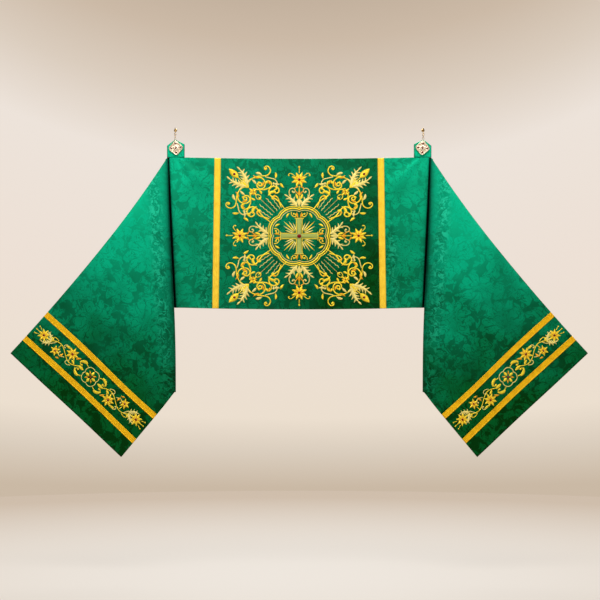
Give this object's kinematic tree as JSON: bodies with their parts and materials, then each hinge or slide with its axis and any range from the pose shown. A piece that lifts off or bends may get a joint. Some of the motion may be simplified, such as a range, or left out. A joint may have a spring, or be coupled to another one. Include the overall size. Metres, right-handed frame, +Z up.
{
  "type": "humeral veil",
  "caption": "Green damask humeral veil with gold braids and embroidered bands, hung by gilt clasps and short chains from wall hooks, its ends spread as slanting wings.",
  "frame": {"origin": "midway between the two wall hooks, on the plane of the wall that they are fixed to", "axes": "+X along the veil to the viewer's right, +Y into the wall, away from the viewer, +Z up"},
  "size_m": [2.1, 0.0513, 1.1973],
  "materials": {
    "damask": "satin",
    "centre_braid": "satin",
    "wing_braid": "satin",
    "gilt": "polished",
    "chain": "polished",
    "hook": "polished"
  },
  "bodies": {
    "root": {"centre_panel": "damask", "side_panel_left": "damask", "side_panel_right": "damask", "tab_left": "damask", "tab_right": "damask", "braid_centre_left": "centre_braid", "braid_centre_right": "centre_braid", "braid_wing_upper_left": "wing_braid", "braid_wing_upper_right": "wing_braid", "braid_wing_lower_left": "wing_braid", "braid_wing_lower_right": "wing_braid", "clasp_left": "gilt", "clasp_right": "gilt", "link_left_1": "chain", "link_left_2": "chain", "link_left_3": "chain", "link_left_4": "chain", "link_right_1": "chain", "link_right_2": "chain", "link_right_3": "chain", "link_right_4": "chain", "wall_hook_left": "hook", "wall_hook_right": "hook"}
  },
  "joints": []
}
